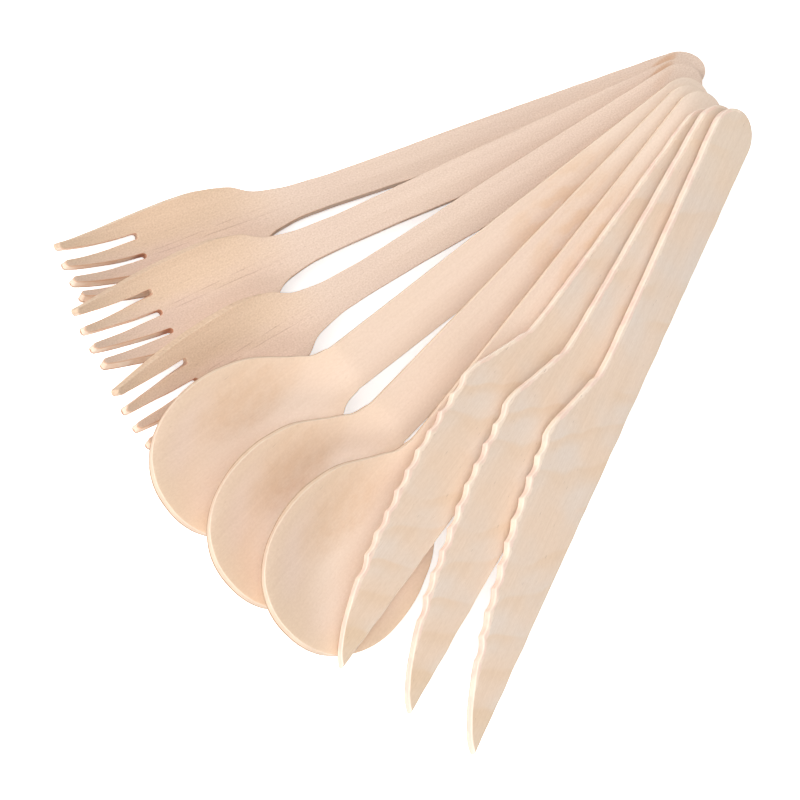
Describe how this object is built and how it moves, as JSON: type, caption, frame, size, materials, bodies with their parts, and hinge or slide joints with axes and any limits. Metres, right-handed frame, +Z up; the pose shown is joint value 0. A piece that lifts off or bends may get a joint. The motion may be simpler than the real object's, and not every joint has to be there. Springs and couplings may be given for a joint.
{
  "type": "wooden cutlery pack",
  "caption": "Fan of pressed birch forks, spoons and knives, laid handle ends together for single use at the table.",
  "frame": {"origin": "middle of the pack's footprint, on the surface that it lies on", "axes": "+Z up from the surface, +Y from the heads to the pile of handle ends, +X across the fan from the forks to the knives"},
  "size_m": [0.1314, 0.175, 0.0211],
  "materials": {
    "fork_birch": "hot-pressed birch veneer, uncoated, matte",
    "spoon_birch": "hot-pressed birch veneer, uncoated, matte",
    "knife_birch": "hot-pressed birch veneer, uncoated, matte"
  },
  "bodies": {
    "root": {"fork_1": "fork_birch", "fork_2": "fork_birch", "fork_3": "fork_birch", "spoon_1": "spoon_birch", "spoon_2": "spoon_birch", "spoon_3": "spoon_birch", "knife_1": "knife_birch", "knife_2": "knife_birch", "knife_3": "knife_birch"}
  },
  "joints": []
}
